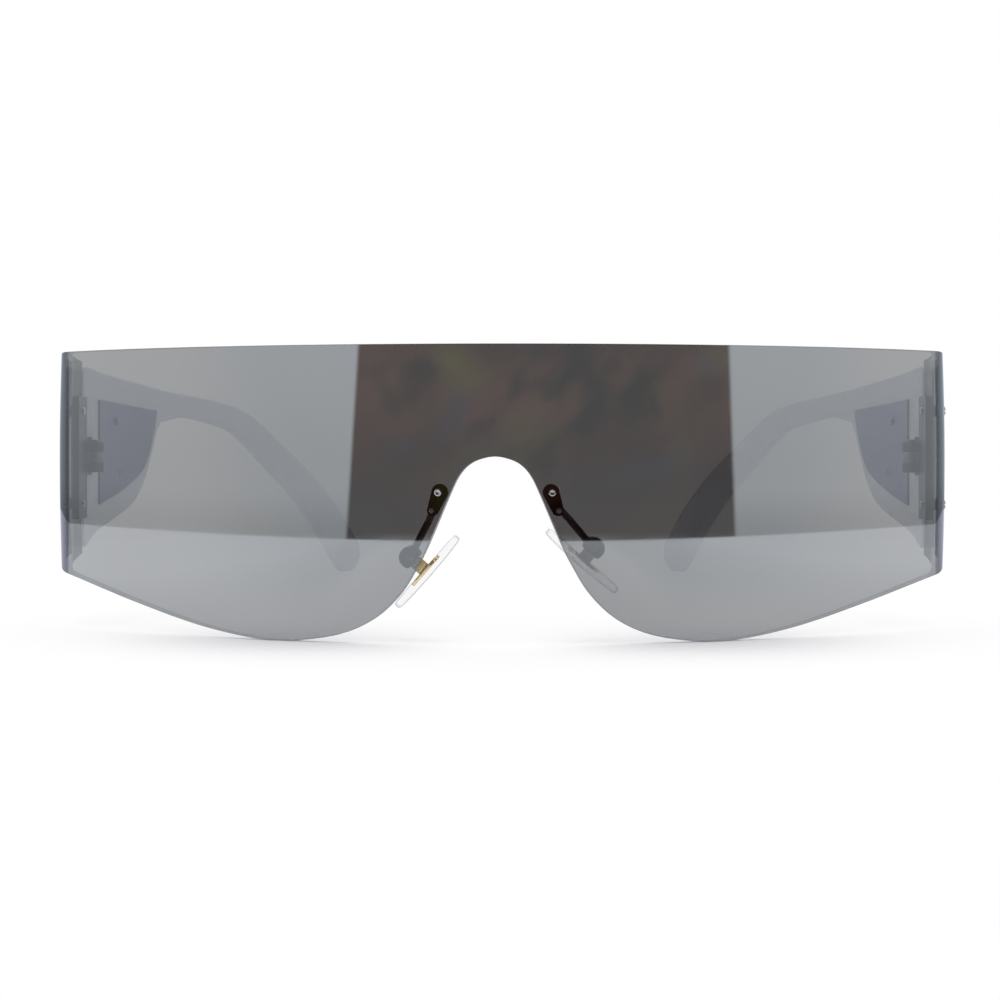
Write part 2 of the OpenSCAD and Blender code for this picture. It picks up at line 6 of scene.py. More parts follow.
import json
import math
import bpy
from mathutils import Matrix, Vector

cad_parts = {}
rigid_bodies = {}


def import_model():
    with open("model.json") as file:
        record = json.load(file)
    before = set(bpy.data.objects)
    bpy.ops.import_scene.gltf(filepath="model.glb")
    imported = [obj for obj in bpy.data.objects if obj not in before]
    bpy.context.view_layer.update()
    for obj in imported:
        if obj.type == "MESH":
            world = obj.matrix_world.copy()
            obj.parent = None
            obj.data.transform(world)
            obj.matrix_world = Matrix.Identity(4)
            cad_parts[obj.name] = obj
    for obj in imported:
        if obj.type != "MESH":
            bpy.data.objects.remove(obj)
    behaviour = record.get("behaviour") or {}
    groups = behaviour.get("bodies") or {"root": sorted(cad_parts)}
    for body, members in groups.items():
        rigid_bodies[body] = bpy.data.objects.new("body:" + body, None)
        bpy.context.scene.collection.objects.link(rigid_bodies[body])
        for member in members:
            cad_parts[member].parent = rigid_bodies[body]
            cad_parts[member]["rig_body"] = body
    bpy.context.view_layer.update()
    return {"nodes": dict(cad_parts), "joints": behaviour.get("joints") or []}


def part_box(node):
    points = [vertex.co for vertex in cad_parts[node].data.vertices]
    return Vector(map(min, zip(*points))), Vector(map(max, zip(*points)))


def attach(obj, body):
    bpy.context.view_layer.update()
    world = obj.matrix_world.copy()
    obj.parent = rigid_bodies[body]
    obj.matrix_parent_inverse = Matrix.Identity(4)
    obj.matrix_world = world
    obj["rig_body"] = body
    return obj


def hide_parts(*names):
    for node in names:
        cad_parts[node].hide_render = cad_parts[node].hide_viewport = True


bl_info = {
    "name": "Shield Sunglasses",
    "version": (1, 0, 0),
    "blender": (4, 5, 0),
    "location": "3D View > Sidebar > Eyewear",
    "description": "Models the lens, temples, hinges and nose pads of a pair of shield sunglasses",
    "category": "Add Mesh",
}

import bmesh
import bpy
from mathutils import Matrix, Vector

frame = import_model()
NODES = frame["nodes"]
JOINTS = {joint["name"]: joint for joint in frame["joints"]}
LENS_LOW, LENS_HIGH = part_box("lens")
SIDES = {"left": -1, "right": 1}
MM = 0.001
WELD = 0.002 * MM


def length_value(name, description, default, least=None):
    """A length, with its default and its least value in millimetres."""
    limits = {} if least is None else {"min": least * MM}
    return bpy.props.FloatProperty(
        name=name, description=description, default=default * MM, subtype="DISTANCE", unit="LENGTH", **limits)


def angle_value(name, description, default, **limits):
    """An angle, with its default and its limits in degrees."""
    limits = {key: math.radians(value) for key, value in limits.items()}
    return bpy.props.FloatProperty(
        name=name, description=description, default=math.radians(default), subtype="ANGLE", **limits)


def colour_value(name, description, default):
    return bpy.props.FloatVectorProperty(
        name=name, description=description, default=default, min=0, max=1, subtype="COLOR")


def share_value(name, description, default):
    return bpy.props.FloatProperty(
        name=name, description=description, default=default, min=0, max=1, subtype="FACTOR")


def number_value(name, description, default, **limits):
    return bpy.props.FloatProperty(name=name, description=description, default=default, **limits)


class LensSettings(bpy.types.PropertyGroup):
    """Sizes and optics of the lens"""

    front_radius: length_value("Front radius", "Radius of the outer face seen from above", 100, 50)
    bend_radius: length_value("Bend radius", "Radius of the bend into each side wing", 10, 1)
    wall: length_value("Wall", "Thickness of the lens", 1.8, 0.5)
    edge_round: length_value("Edge rounding", "Rounding of the polished edge", 0.08, 0.02)
    wing_bow: length_value("Wing bow", "How far a wing's top and bottom lie inside its middle", 0.5, 0)
    wing_drop: length_value("Wing drop", "How far a wing's top lies below the front's", 1.1, 0)
    wing_rise: length_value("Wing rise", "How far a wing's bottom lies above the front's", 1.9, 0)
    brow_centre: length_value("Brow centre", "Middle of the dense mirror above the nose", 6.5)
    brow_half: length_value("Brow half width", "Half the width of the dense mirror above the nose", 29)
    brow_fade: length_value("Brow fade", "Width over which the dense mirror thins out to the sides", 31)
    brow_foot: length_value("Brow foot", "Height at which the dense mirror starts", 17.2)
    columns: bpy.props.IntProperty(
        name="Columns", description="Steps along the lens", default=480, min=100, max=1000)
    rows: bpy.props.IntProperty(
        name="Rows", description="Steps up the lens", default=28, min=2, max=40)
    mirror_tone: colour_value("Mirror tone", "Colour of the flash mirror", (0.211, 0.221, 0.233))
    cover_side: share_value("Cover at the sides", "Opacity of the mirror face towards the wings", 0.6)
    cover_nose: share_value("Cover at the nose", "Opacity of the mirror face beside the nose pads", 0.66)
    cover_brow: share_value("Cover at the brow", "Opacity of the mirror face above the nose", 0.875)
    inside_cover: share_value("Inside cover", "Opacity of the tinted inner face", 0.5)


class TempleSettings(bpy.types.PropertyGroup):
    """Sizes and colour of the temples"""

    curve_radius: length_value("Curve radius", "Radius of the inward curve of a temple's inner face", 450, 200)
    toe_in: angle_value("Toe-in", "Angle at which a temple starts to run inwards", 9.5, min=0, max=20)
    thickness: length_value("Thickness", "Thickness of a temple", 2.3, 1)
    edge_round: length_value("Edge rounding", "Rounding of a temple's moulded edges", 0.5, 0.1)
    slice_step: length_value("Slice step", "Distance between the cuts that let the moulding curve", 3, 1)
    corner_round: length_value("Corner rounding", "Radius of the outline's corners", 1.4, 0.1)
    skin: length_value("Skin", "Plastic left outside the hinge's notch", 0.9, 0.3)
    hinge_room: length_value("Hinge room", "Gap above and below the hinge barrel in the notch", 0.45, 0.1)
    notch_reach: length_value("Notch reach", "From the hinge axis to the end of the notch", 2.05, 0.5)
    tone: colour_value("Plastic tone", "Colour of the temples", (0.82, 0.84, 0.89))


class MetalSettings(bpy.types.PropertyGroup):
    """Finishes of the metal pieces"""

    edge_round: length_value("Edge rounding", "Rounding of sheet metal edges", 0.12, 0.02)
    fine_round: length_value("Fine rounding", "Rounding of screw edges", 0.05, 0.01)
    steel: colour_value("Steel", "Colour of the screws", (0.40, 0.41, 0.43))
    gunmetal: colour_value("Gunmetal", "Colour of the endpieces", (0.10, 0.11, 0.145))
    leaf: colour_value("Leaf metal", "Colour of the leaf plates and their rivets", (0.36, 0.36, 0.49))
    black: colour_value("Black finish", "Colour of the pad mounts", (0.030, 0.024, 0.021))
    gold: colour_value("Gold", "Colour of the pad inserts", (0.83, 0.66, 0.36))


class PadSettings(bpy.types.PropertyGroup):
    """Sizes and finish of the nose pads"""

    length: length_value("Length", "Length of a pad", 14.4)
    width: length_value("Width", "Width of a pad, front to back", 7.6)
    thickness: length_value("Thickness", "Thickness of a pad at its middle", 1.5)
    crown_radius: length_value("Crown radius", "Radius of the face that meets the nose", 110)
    rim_power: number_value(
        "Rim fullness", "How full the rim is: 2 is an ellipse, more is squarer", 7, min=2, max=12)
    oval_power: number_value(
        "Oval fullness", "How full the oval is: 2 is an ellipse, more is squarer", 2.5, min=2, max=6)
    tone: colour_value("Silicone tone", "Colour of the clear silicone's edges", (0.52, 0.53, 0.55))
    face_cover: share_value("Face cover", "Opacity of the silicone face on", 0.06)
    edge_cover: share_value("Edge cover", "Opacity of the silicone edge on", 0.6)
    left_tilt: angle_value("Left tilt", "Tilt of the left pad", 41)
    right_tilt: angle_value("Right tilt", "Tilt of the right pad", 49)
    left_set_off: length_value("Left set-off", "From the left pad screw to the pad's mid-plane", 3.55)
    right_set_off: length_value("Right set-off", "From the right pad screw to the pad's mid-plane", 2.8)


class StageSettings(bpy.types.PropertyGroup):
    """Camera, light and the light tent that the mirror reflects"""

    camera_distance: length_value("Camera distance", "From the front of the lens to the camera", 300)
    camera_height: length_value("Camera height", "Height of the camera above the floor", 32.3)
    camera_turn: angle_value("Camera turn", "How far the camera stands to the right", 1.35)
    focal_length: number_value("Focal length", "Focal length in millimetres", 72)
    opening_left: length_value("Opening's left edge", "Left edge of the tent's dark opening", -175)
    opening_right: length_value("Opening's right edge", "Right edge of the tent's dark opening", 263)
    lean_left: number_value("Left lean", "How far the left edge leans, sideways for each length up", 0.24)
    lean_right: number_value("Right lean", "How far the right edge leans, sideways for each length up", 0.12)
    shadow_reach: length_value("Shadow reach", "Distance to which the floor shows a shadow", 170)
    foot_place: length_value(
        "Foot place", "From the middle to the point where each lobe of the lens stands", 33)
    foot_shadow: length_value(
        "Foot shadow", "Distance from a foot to which the floor's shadow is deep", 38)
    paper: colour_value("Paper", "Colour of the floor that takes the shadow", (0.88, 0.885, 0.85))
    floor_glow: colour_value("Floor glow", "Light of the floor itself near the glasses", (0.115, 0.105, 0.15))
    # The floor as the lens mirrors it is painted: painted shade in front and behind the bends, painted light
    # aside
    mirrored_front: number_value(
        "Mirrored front", "Brightness of the floor in front, as the lens mirrors it", 0.965)
    mirrored_side: number_value(
        "Mirrored side", "Brightness of the floor aside, as the lens mirrors it", 1.62)
    mirrored_behind: share_value("Mirrored behind", "Share of that brightness behind the bends", 0.45)
    mirrored_centre: length_value("Mirrored centre", "Where the mirrored floor is dimmest", 22)
    # Painted shade: the cloth behind the glasses glows grey, so the bends and wings mirror it dark
    tent_back_shade: colour_value("Tent's back", "Tone of the tent behind the glasses", (0.435, 0.475, 0.53))
    ambient: number_value("Ambient level", "Strength of the soft light from all round", 0.87)
    key_light: number_value("Key light", "Light on the floor from the soft key above, 1 is white", 0.26)
    key_spread: angle_value("Key spread", "Angle that the key light fills", 48)


def settings(name):
    return getattr(bpy.context.scene, name)


# Selecting, copying and finishing pieces


def only(piece):
    """Deselects everything but one piece and makes it active."""
    bpy.ops.object.select_all(action="DESELECT")
    piece.select_set(True)
    bpy.context.view_layer.objects.active = piece
    return piece


def edit(piece):
    only(piece)
    bpy.ops.object.mode_set(mode="EDIT")
    bpy.ops.mesh.select_all(action="SELECT")


def start_piece(name, add, **values):
    """Adds a primitive under this name, with nothing else selected."""
    bpy.ops.object.select_all(action="DESELECT")
    add(**values)
    bpy.context.object.name = name
    return bpy.context.object


def leave_edit():
    bpy.ops.object.mode_set(mode="OBJECT")


def pick(piece, mode):
    """Leaves edit mode with nothing selected and this select mode set."""
    only(piece)
    bpy.ops.object.mode_set(mode="EDIT")
    bpy.ops.mesh.select_mode(type=mode)
    bpy.ops.mesh.select_all(action="DESELECT")
    leave_edit()


def apply_place(piece):
    only(piece)
    bpy.ops.object.transform_apply(location=True, rotation=True, scale=True)


def add_modifier(piece, kind, **values):
    """Adds a modifier with these values and applies it."""
    only(piece)
    modifier = piece.modifiers.new(kind.lower(), kind)
    for key, value in values.items():
        setattr(modifier, key, value)
    bpy.ops.object.modifier_apply(modifier=modifier.name)


def round_edges(piece, width):
    add_modifier(piece, "BEVEL", width=width, segments=2, limit_method="ANGLE",
                 angle_limit=math.radians(32), miter_outer="MITER_ARC")


def shade(piece, angle=34):
    """Smooth shading in which the large faces keep their own direction up to the rounded edges."""
    only(piece)
    bpy.ops.object.shade_smooth_by_angle(angle=math.radians(angle))
    add_modifier(piece, "WEIGHTED_NORMAL", keep_sharp=True, weight=100)


def copy_of(node, name):
    """A welded copy of a CAD node, with its flat faces whole again."""
    piece = bpy.data.objects.new(name, NODES[node].data.copy())
    bpy.context.scene.collection.objects.link(piece)
    piece.data.materials.clear()
    edit(piece)
    bpy.ops.mesh.remove_doubles(threshold=WELD)
    bpy.ops.mesh.dissolve_limited(angle_limit=math.radians(0.6))
    leave_edit()
    only(piece)
    bpy.ops.mesh.customdata_custom_splitnormals_clear()
    return piece


def hand_over(piece, node, *materials):
    """Gives a finished piece its materials and its body, and hides the node that it stands for."""
    for material in materials:
        piece.data.materials.append(material)
    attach(piece, NODES[node]["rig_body"])
    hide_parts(node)


def cut(piece, cutter):
    """Takes one piece out of another and throws the cutter away."""
    add_modifier(piece, "BOOLEAN", operation="DIFFERENCE", solver="EXACT", object=cutter)
    bpy.data.objects.remove(cutter)


def drill(piece, start, end, radius):
    """Cuts a round hole between two points."""
    way = end - start
    bpy.ops.mesh.primitive_cylinder_add(
        vertices=48, radius=radius, depth=way.length, location=(start + end) / 2,
        rotation=way.to_track_quat("Z", "Y").to_euler())
    cut(piece, bpy.context.object)


def cut_box(piece, low, high):
    """Cuts a box between two corners."""
    bpy.ops.mesh.primitive_cube_add(size=1, location=(low + high) / 2)
    box = bpy.context.object
    box.scale = high - low
    apply_place(box)
    cut(piece, box)


# Shader node groups


def new_group(name, inputs, outputs):
    group = bpy.data.node_groups.new(name, "ShaderNodeTree")
    for label, kind, value in inputs:
        socket = group.interface.new_socket(name=label, in_out="INPUT", socket_type=kind)
        socket.default_value = value
    for label, kind in outputs:
        group.interface.new_socket(name=label, in_out="OUTPUT", socket_type=kind)
    return group, group.nodes.new("NodeGroupInput"), group.nodes.new("NodeGroupOutput")


def feed(tree, socket, source):
    """Links a socket to an output, or sets its value."""
    if isinstance(source, bpy.types.NodeSocket):
        tree.links.new(source, socket)
    else:
        socket.default_value = source


def add_node(tree, kind, inputs=None, **attributes):
    """Adds a shader node with these attributes, its inputs given as outputs or values."""
    node = tree.nodes.new("ShaderNode" + kind)
    for key, value in attributes.items():
        setattr(node, key, value)
    for key, source in (inputs or {}).items():
        feed(tree, node.inputs[key], source)
    return node


def sum_up(tree, operation, a, b=0.0):
    """A Math node's result, from outputs or numbers."""
    return add_node(tree, "Math", {0: a, 1: b}, operation=operation).outputs["Value"]


def product(tree, a, b):
    return sum_up(tree, "MULTIPLY", a, b)


def difference(tree, a, b):
    return sum_up(tree, "SUBTRACT", a, b)


def soft_step(tree, source, start, end, low=0.0, high=1.0, curve="SMOOTHSTEP"):
    """A change from low to high as the source goes from start to end, eased or LINEAR."""
    inputs = {"Value": source, "From Min": start, "From Max": end, "To Min": low, "To Max": high}
    return add_node(tree, "MapRange", inputs, interpolation_type=curve).outputs["Result"]


def mix_tones(tree, amount, first, second):
    """A colour between two, each an output or a tuple of red, green and blue."""
    ends = ((*tone, 1) if isinstance(tone, tuple) else tone for tone in (first, second))
    inputs = dict(zip(("Factor", "A", "B"), (amount, *ends)))
    return add_node(tree, "Mix", inputs, data_type="RGBA").outputs["Result"]


def object_place(tree):
    """A point in the object's own frame."""
    return add_node(tree, "TexCoord").outputs["Object"]


def parts_of(tree, vector):
    """The X, Y and Z of a vector."""
    return add_node(tree, "SeparateXYZ", {"Vector": vector}).outputs


def surface_grain():
    """Fine unevenness of a moulded or finished surface: a roughness and a height."""
    name = "surface_grain"
    if name in bpy.data.node_groups:
        return bpy.data.node_groups[name]
    group, given, out = new_group(
        name,
        [("Scale", "NodeSocketFloat", 400.0), ("Low", "NodeSocketFloat", 0.2),
         ("High", "NodeSocketFloat", 0.35), ("Stretch", "NodeSocketVector", (1.0, 1.0, 1.0))],
        [("Roughness", "NodeSocketFloat"), ("Height", "NodeSocketFloat")])
    given = given.outputs
    fine_to_coarse, noise_span = 6, (0.3, 0.7)
    stretched = add_node(group, "VectorMath", {0: object_place(group), 1: given["Stretch"]},
                         operation="MULTIPLY").outputs["Vector"]
    coarse = add_node(group, "TexNoise", {"Vector": stretched, "Scale": given["Scale"], "Detail": 5})
    finer = product(group, given["Scale"], fine_to_coarse)
    fine = add_node(group, "TexNoise", {"Vector": stretched, "Scale": finer, "Detail": 2})
    spread = soft_step(group, coarse.outputs["Fac"], *noise_span, given["Low"], given["High"], "LINEAR")
    feed(group, out.inputs["Roughness"], spread)
    feed(group, out.inputs["Height"], fine.outputs["Fac"])
    return group


def soft_mottle():
    """A slow change of tone over a surface."""
    name = "soft_mottle"
    if name in bpy.data.node_groups:
        return bpy.data.node_groups[name]
    group, given, out = new_group(
        name,
        [("Scale", "NodeSocketFloat", 60.0), ("Tone", "NodeSocketColor", (0.5, 0.5, 0.5, 1.0)),
         ("Shift", "NodeSocketColor", (0.5, 0.5, 0.5, 1.0))],
        [("Color", "NodeSocketColor")])
    given = given.outputs
    noise = add_node(group, "TexNoise", {"Vector": object_place(group), "Scale": given["Scale"], "Detail": 4})
    tone = mix_tones(group, noise.outputs["Fac"], given["Tone"], given["Shift"])
    feed(group, out.inputs["Color"], tone)
    return group


# Materials


def new_material(name, values):
    """A material, its tree and its Principled shader, with these values on the shader's own sockets."""
    material = bpy.data.materials.new(name)
    material.use_nodes = True
    shader = material.node_tree.nodes["Principled BSDF"]
    for key, value in values.items():
        shader.inputs[key].default_value = value
    return material, material.node_tree, shader


def place_group(tree, group, **values):
    return add_node(tree, "Group", values, node_tree=group)


def add_grain(tree, shader, scale, low, high, depth=0, stretch=(1, 1, 1)):
    """Roughness from the shared grain and, where it has a depth, a fine bump."""
    grain = place_group(tree, surface_grain(), Scale=scale, Low=low, High=high, Stretch=stretch)
    feed(tree, shader.inputs["Roughness"], grain.outputs["Roughness"])
    if depth:
        bump = add_node(tree, "Bump", {"Height": grain.outputs["Height"], "Distance": depth, "Strength": 0.5})
        feed(tree, shader.inputs["Normal"], bump.outputs["Normal"])


def add_mottle(tree, shader, scale, tone, shift):
    mottle = place_group(tree, soft_mottle(), Scale=scale, Tone=(*tone, 1), Shift=(*shift, 1))
    feed(tree, shader.inputs["Base Color"], mottle.outputs["Color"])


def around(tone, spread):
    """Two tones, a little darker and a little lighter than one."""
    return [tuple(min(1, channel * factor) for channel in tone) for factor in (1 - spread, 1 + spread)]


def metal_finish(name, tone, low, high, stretch=(1, 1, 1), metallic=1.0):
    """A metal or lacquer whose roughness varies between low and high."""
    depth, scale = 0.002 * MM, 700
    material, tree, shader = new_material(name, {"Metallic": metallic})
    add_grain(tree, shader, scale, low, high, depth, stretch)
    add_mottle(tree, shader, scale / 5, *around(tone, 0.06))
    return material


# Where the mirror's cover changes: distances from the lens's middle, heights, and how edge-on it is seen
NOSE_SPAN = (14 * MM, 40 * MM)
LOBE_SPAN = (15 * MM, 30 * MM)
FOOT_DEPTH_AT_NOSE = 3 * MM
FOOT_START_AT_LOBE = 2 * MM
BROW_RISE = 13 * MM
BROW_GAIN = 0.013
GRAZING_SPAN = (0.49, 0.64)

# Refraction of the lens's grey sheet
SHEET_IOR = 1.586


def mirror_coat(lens):
    """The outer face: a thin metal flash, denser over the nose and at a grazing look."""
    material, tree, shader = new_material("mirror_coat", {"Metallic": 1})
    add_mottle(tree, shader, 45, *around(lens.mirror_tone, 0.015))
    add_grain(tree, shader, 90, 0.012, 0.03)
    x, _, z = parts_of(tree, object_place(tree))
    off_middle = sum_up(tree, "ABSOLUTE", x)
    off_brow = sum_up(tree, "ABSOLUTE", difference(tree, x, lens.brow_centre))
    low = soft_step(tree, off_middle, *NOSE_SPAN, lens.cover_nose, lens.cover_side)
    dense = soft_step(tree, z, lens.brow_foot, lens.brow_foot + BROW_RISE,
                      lens.cover_brow - BROW_GAIN, lens.cover_brow)
    brow_end = lens.brow_half + lens.brow_fade
    high = soft_step(tree, off_brow, lens.brow_half, brow_end, dense, lens.cover_side)
    fade_start = soft_step(tree, off_middle, *LOBE_SPAN, lens.brow_foot - FOOT_DEPTH_AT_NOSE,
                           FOOT_START_AT_LOBE)
    brow = soft_step(tree, z, fade_start, lens.brow_foot)
    cover = sum_up(tree, "ADD", low, product(tree, brow, difference(tree, high, low)))
    facing = add_node(tree, "LayerWeight").outputs["Facing"]
    grazing = soft_step(tree, facing, *GRAZING_SPAN)
    left_open = product(tree, difference(tree, 1.0, cover), grazing)
    feed(tree, shader.inputs["Alpha"], sum_up(tree, "ADD", cover, left_open))
    return material


def tinted_inside(lens):
    material, tree, shader = new_material("tinted_inside", {"Alpha": lens.inside_cover, "IOR": SHEET_IOR})
    add_mottle(tree, shader, 45, (0.012, 0.012, 0.014), (0.016, 0.016, 0.018))
    add_grain(tree, shader, 90, 0.03, 0.06)
    return material


def lens_rim():
    """The polished edge of the grey sheet."""
    material, tree, shader = new_material("lens_rim", {"Alpha": 0.75, "IOR": SHEET_IOR})
    add_grain(tree, shader, 900, 0.08, 0.22, 0.002 * MM)
    add_mottle(tree, shader, 200, (0.075, 0.08, 0.085), (0.12, 0.125, 0.135))
    return material


def white_plastic(temple):
    material, tree, shader = new_material("white_plastic", {"IOR": 1.49})
    add_grain(tree, shader, 260, 0.27, 0.34, 0.0012 * MM)
    add_mottle(tree, shader, 14, *around(temple.tone, 0.015))
    return material


def clear_silicone(pad):
    """Clear soft plastic: nearly invisible face on, grey along its edges."""
    material, tree, shader = new_material("clear_silicone", {"IOR": 1.41})
    add_grain(tree, shader, 500, 0.10, 0.22, 0.003 * MM)
    add_mottle(tree, shader, 80, *around(pad.tone, 0.03))
    facing = add_node(tree, "LayerWeight", {"Blend": 0.5}).outputs["Facing"]
    veil_start = 0.35
    veil = soft_step(tree, facing, veil_start, 1.0, pad.face_cover, pad.edge_cover)
    feed(tree, shader.inputs["Alpha"], veil)
    return material


def clear_bush():
    material, tree, shader = new_material("clear_bush", {"Transmission Weight": 1, "IOR": 1.5})
    add_grain(tree, shader, 900, 0.05, 0.15, 0.001 * MM)
    add_mottle(tree, shader, 200, (0.93, 0.94, 0.95), (0.97, 0.97, 0.98))
    return material


# The lens

# Its holes for the pad mounts and the wing bushes, and the slots of its inner face and rim
MOUNT_RADII = {"mount_screw": 0.55 * MM, "mount_pin": 0.45 * MM}
MOUNT_REACH = 4 * MM
HOLE_SLACK = 0.01 * MM
BUSH_HOLE_SHARE = 0.64
INSIDE_SLOT, RIM_SLOT = 1, 2


def ease(t):
    """A smooth rise from 0 to 1."""
    t = min(1, max(0, t))
    return t * t * (3 - 2 * t)


def bend_angle(lens):
    half = (LENS_HIGH.x - lens.bend_radius) / (1 - lens.bend_radius / lens.front_radius)
    return math.asin(half / lens.front_radius)


def bend_centre(lens):
    """Centre of the right bend, seen from above."""
    reach = lens.front_radius - lens.bend_radius
    y = LENS_LOW.y + lens.front_radius - reach * math.cos(bend_angle(lens))
    return LENS_HIGH.x - lens.bend_radius, y


def plan_point(lens, way):
    """The point of the outer face, seen from above, at a distance along it from the middle."""
    turn = bend_angle(lens)
    side = math.copysign(1, way)
    way = abs(way)
    main, bend = lens.front_radius * turn, lens.bend_radius * (math.pi / 2 - turn)
    if way <= main:
        angle = way / lens.front_radius
        x = lens.front_radius * math.sin(angle)
        y = LENS_LOW.y + lens.front_radius * (1 - math.cos(angle))
        return side * x, y
    _, centre_y = bend_centre(lens)
    if way <= main + bend:
        angle = turn + (way - main) / lens.bend_radius
        x = LENS_HIGH.x - lens.bend_radius * (1 - math.sin(angle))
        return side * x, centre_y - lens.bend_radius * math.cos(angle)
    return side * LENS_HIGH.x, centre_y + way - main - bend


def plan_length(lens):
    """Half the length of the outer face, from the middle to the end of a wing."""
    turn = bend_angle(lens)
    _, centre_y = bend_centre(lens)
    return lens.front_radius * turn + lens.bend_radius * (math.pi / 2 - turn) + LENS_HIGH.y - centre_y


def near_hole(x, z):
    """Whether a point of the front view lies at a hole of the pad mounts."""
    slack = 0.4 * MM
    for side in SIDES:
        for kind in MOUNT_RADII:
            low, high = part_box(f"{side}_{kind}")
            if low.x - slack < x < high.x + slack and low.z - slack < z < high.z + slack:
                return True
    return False


def lower_edge(lens):
    """The lens's lower edge in the front view, read from the CAD lens and sorted by X."""
    half = lens.front_radius * math.sin(bend_angle(lens))
    centre_x, centre_y = bend_centre(lens)
    wing_start, top = LENS_HIGH.x - 5 * WELD, LENS_HIGH.z - 1 * MM
    on_face, column = 10 * WELD, 20 * WELD
    found = {}
    for vertex in NODES["lens"].data.vertices:
        x, y, z = vertex.co
        if abs(x) <= half:
            outer_y = LENS_LOW.y + lens.front_radius - math.sqrt(lens.front_radius ** 2 - x * x)
        elif abs(x) < wing_start:
            outer_y = centre_y - math.sqrt(max(0, lens.bend_radius ** 2 - (abs(x) - centre_x) ** 2))
        else:
            continue
        if abs(y - outer_y) < on_face and z < top and not near_hole(x, z):
            key = round(x / column)
            if key not in found or z < found[key][1]:
                found[key] = (x, z)
    points = sorted(found.values())
    end_z = (points[0][1] + points[-1][1]) / 2
    return [(-LENS_HIGH.x, end_z), *points, (LENS_HIGH.x, end_z)]


def smooth_value(points, x):
    """A smooth curve through sorted points, at x."""
    if x <= points[0][0]:
        return points[0][1]
    if x >= points[-1][0]:
        return points[-1][1]
    k = next(i for i in range(len(points) - 1) if points[i + 1][0] >= x)
    a, b = points[k], points[k + 1]
    before, after = points[max(k - 1, 0)], points[min(k + 2, len(points) - 1)]
    gap = b[0] - a[0]
    t = (x - a[0]) / gap
    slope_a = (b[1] - before[1]) / max(b[0] - before[0], WELD) * gap
    slope_b = (after[1] - a[1]) / max(after[0] - a[0], WELD) * gap
    t2, t3 = t * t, t * t * t
    return ((2 * t3 - 3 * t2 + 1) * a[1] + (t3 - 2 * t2 + t) * slope_a
            + (3 * t2 - 2 * t3) * b[1] + (t3 - t2) * slope_b)


def screw_line(node):
    """A point on a mount screw's axis and the axis, which passes through the lens's own axis."""
    low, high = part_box(node)
    centre = (low + high) / 2
    hub = Vector((0, LENS_LOW.y + settings("lens_settings").front_radius, centre.z))
    return centre, (hub - centre).normalized()


class EYEWEAR_OT_lens(bpy.types.Operator):
    """Model the mirrored one-piece lens"""

    bl_idname = "eyewear.lens"
    bl_label = "Lens"

    def execute(self, context):
        lens = settings("lens_settings")
        edge, length = lower_edge(lens), plan_length(lens)
        piece = start_piece("shield_lens", bpy.ops.mesh.primitive_grid_add, size=2,
                            x_subdivisions=lens.columns, y_subdivisions=lens.rows)
        hinge_z = JOINTS["right_fold"]["pos_m"][2]
        half_height = max(LENS_HIGH.z - hinge_z, hinge_z - edge[-1][1])
        bend_start = lens.front_radius * bend_angle(lens)
        bend_end = bend_start + lens.bend_radius * (math.pi / 2 - bend_angle(lens))
        narrowing = 4 * lens.wall
        for vertex in piece.data.vertices:
            along, up = vertex.co.x, (vertex.co.y + 1) / 2
            x, y = plan_point(lens, along * length)
            low = max(smooth_value(edge, x), LENS_LOW.z + WELD)
            past_bend = ease((abs(along) * length - bend_start) / (bend_end - bend_start))
            into_wing = ease((abs(along) * length - bend_end + narrowing) / (2 * narrowing))
            low += lens.wing_rise * into_wing
            z = low + up * (LENS_HIGH.z - lens.wing_drop * into_wing - low)
            bow = lens.wing_bow * ((z - hinge_z) / half_height) ** 2 * past_bend
            vertex.co = x - math.copysign(bow, x), y, z
        for material in (mirror_coat(lens), tinted_inside(lens), lens_rim()):
            piece.data.materials.append(material)
        add_modifier(piece, "SOLIDIFY", thickness=lens.wall, offset=-1, use_even_offset=True,
                     material_offset=INSIDE_SLOT, material_offset_rim=RIM_SLOT)
        add_modifier(piece, "BEVEL", width=lens.edge_round, segments=3, limit_method="ANGLE",
                     angle_limit=math.radians(60), material=RIM_SLOT)
        self.drill_holes(piece, lens)
        self.part_rim(piece)
        shade(piece, angle=25)
        hand_over(piece, "lens")
        return {"FINISHED"}

    def part_rim(self, piece):
        """Marks where the rim starts as sharp, so that the mirror stays true up to its edge."""
        pick(piece, "FACE")
        for face in piece.data.polygons:
            face.select = face.material_index == RIM_SLOT
        bpy.ops.object.mode_set(mode="EDIT")
        bpy.ops.mesh.region_to_loop()
        bpy.ops.mesh.mark_sharp()
        leave_edit()

    def drill_holes(self, piece, lens):
        for side, sign in SIDES.items():
            low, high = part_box(f"{side}_wing_bushes")
            radius = (high.y - low.y) / 2
            for z in (low.z + radius, high.z - radius):
                wall = Vector((sign * (LENS_HIGH.x - lens.wall / 2), (low.y + high.y) / 2, z))
                reach = Vector((lens.wall, 0, 0))
                drill(piece, wall - reach, wall + reach, radius * BUSH_HOLE_SHARE)
            for kind, hole in MOUNT_RADII.items():
                centre, axis = screw_line(f"{side}_{kind}")
                reach = MOUNT_REACH * axis
                drill(piece, centre - reach, centre + reach, hole + HOLE_SLACK)


# The temples

# An outline that turns by more than this has a corner
CORNER_TURN = math.radians(30)


def temple_centre(temple):
    """Centre of the inner face's curve, seen from above, for the right side."""
    low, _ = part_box("right_temple")
    inner_x = LENS_HIGH.x - temple.thickness
    return (inner_x - temple.curve_radius * math.cos(temple.toe_in),
            low.y - temple.curve_radius * math.sin(temple.toe_in))


